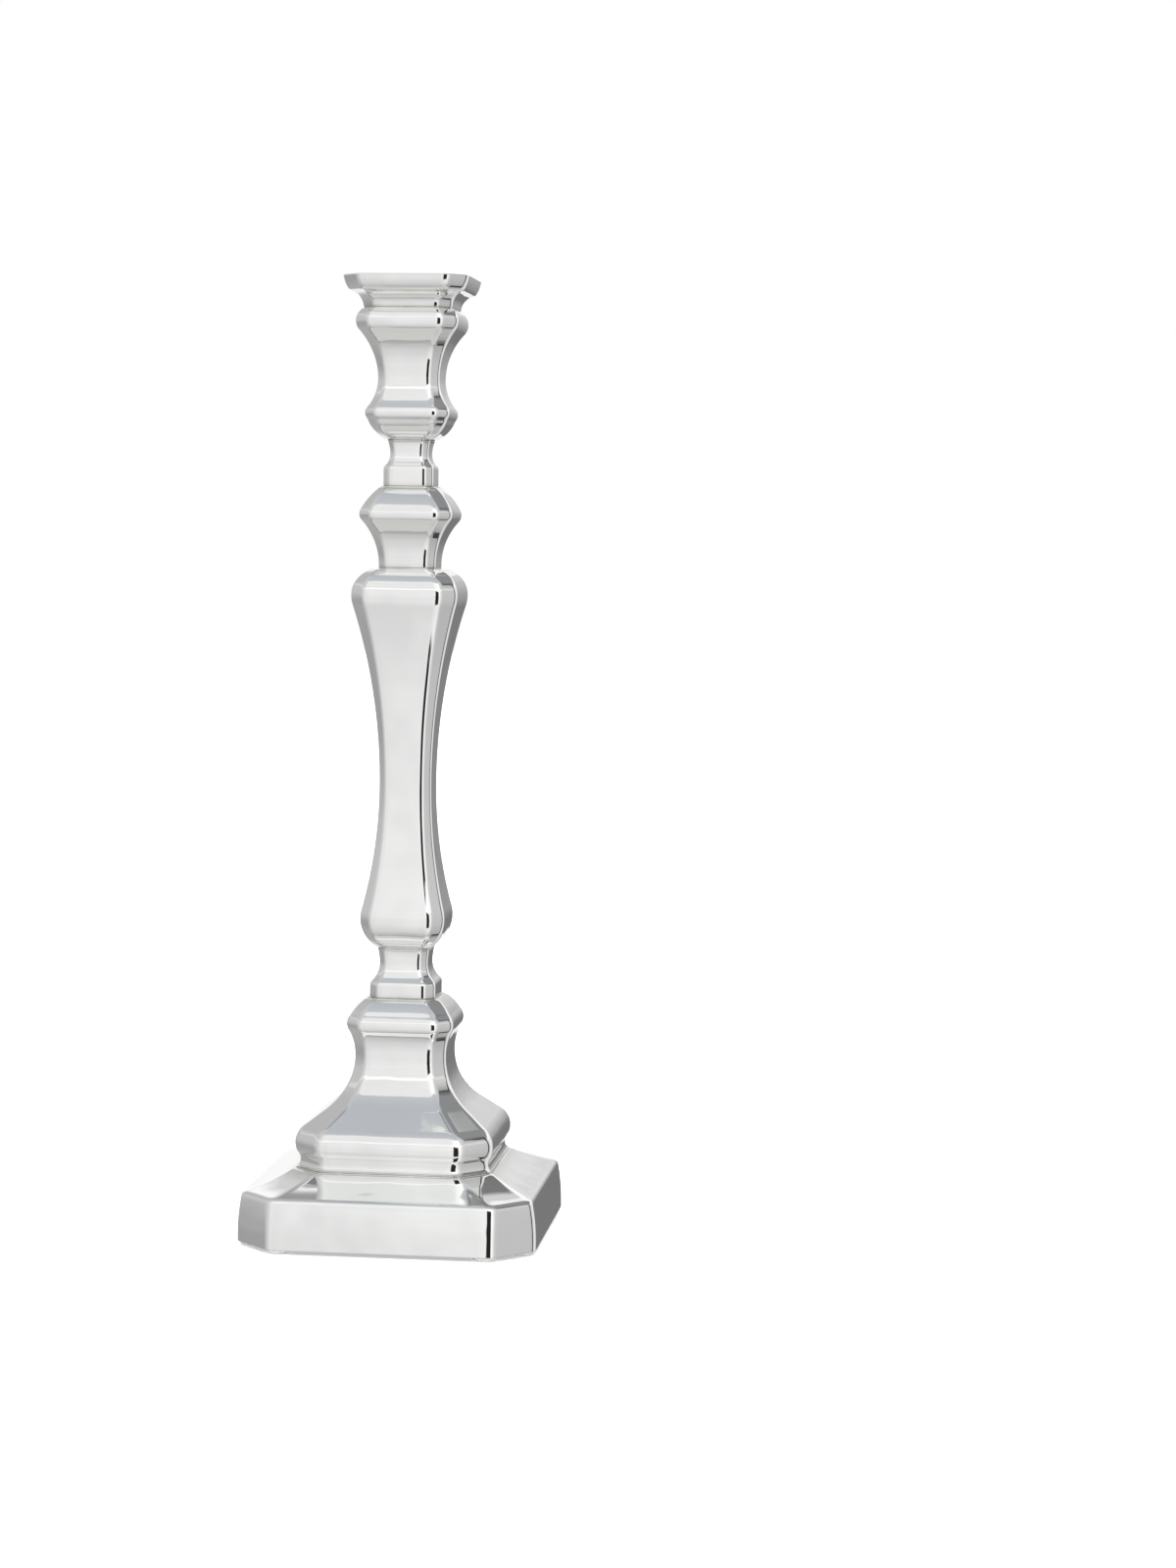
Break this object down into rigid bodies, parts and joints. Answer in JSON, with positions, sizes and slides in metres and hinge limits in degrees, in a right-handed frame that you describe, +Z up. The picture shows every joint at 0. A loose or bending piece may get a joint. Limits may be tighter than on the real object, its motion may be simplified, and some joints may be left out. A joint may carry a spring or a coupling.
{
  "type": "candlestick",
  "caption": "Tall cut-corner baluster candlestick for one dinner candle, with a lift-out nozzle and a weighted stepped base on small feet.",
  "frame": {"origin": "centre of the plane that the feet stand on", "axes": "+Z up along the candle; the front face looks towards -Y; +X is to the right of the front face"},
  "size_m": [0.1106, 0.1106, 0.355],
  "materials": {
    "silver_plate": "mirror-polished silver plate with faint wiping marks",
    "sheet_silver": "polished silver-plated sheet, a little worn by candles",
    "steel": "zinc-plated steel",
    "weight_iron": "rough cast iron",
    "cover_paint": "matt black paint on steel sheet",
    "foot_rubber": "clear soft plastic"
  },
  "bodies": {
    "stick": {"socket": "silver_plate", "candle_cup": "sheet_silver", "captive_nut": "steel", "neck_collar": "silver_plate", "knop": "silver_plate", "stem": "silver_plate", "lower_collar": "silver_plate", "pedestal": "silver_plate", "plinth": "silver_plate", "tie_rod": "steel", "base_weight": "weight_iron", "bottom_washer": "steel", "lock_washer": "steel", "bottom_nut": "steel", "base_cover": "cover_paint", "foot_1": "foot_rubber", "foot_2": "foot_rubber", "foot_3": "foot_rubber", "foot_4": "foot_rubber", "foot_5": "foot_rubber", "foot_6": "foot_rubber", "foot_7": "foot_rubber", "foot_8": "foot_rubber"},
    "nozzle": {"drip_pan": "silver_plate", "nozzle_sleeve": "sheet_silver"}
  },
  "joints": [
    {"name": "nozzle_lift", "type": "slide", "parent": "stick", "child": "nozzle", "axis": [0, 0, 1], "range_m": [0, 0.03]}
  ]
}
